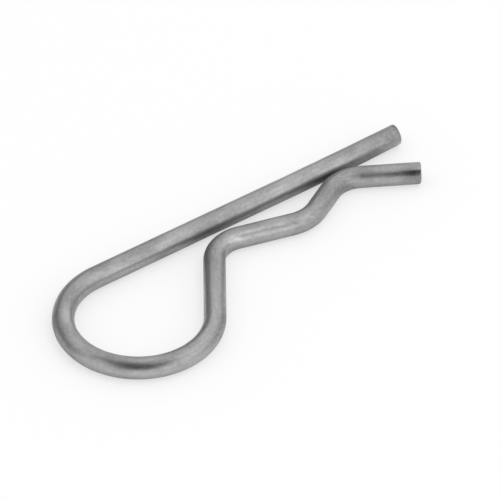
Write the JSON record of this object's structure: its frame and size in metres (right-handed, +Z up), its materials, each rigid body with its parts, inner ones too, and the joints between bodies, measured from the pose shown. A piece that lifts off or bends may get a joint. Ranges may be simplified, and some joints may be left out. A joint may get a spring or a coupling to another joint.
{
  "type": "hitch pin r clip",
  "caption": "Spring wire R clip: a straight leg passes through a shaft's cross hole, a waved leg seats on the shaft, and a round eye joins them.",
  "frame": {"origin": "under the middle of the clip's box, on the surface it lies on", "axes": "+X along the straight leg from the eye to its free end, -Y towards the waved leg, +Z up, square to the plane the wire is bent in"},
  "size_m": [0.082, 0.0304, 0.004],
  "materials": {
    "wire": "bright zinc plate over drawn spring steel wire, satin, with faint draw lines"
  },
  "bodies": {
    "root": {"r_clip": "wire"}
  },
  "joints": []
}
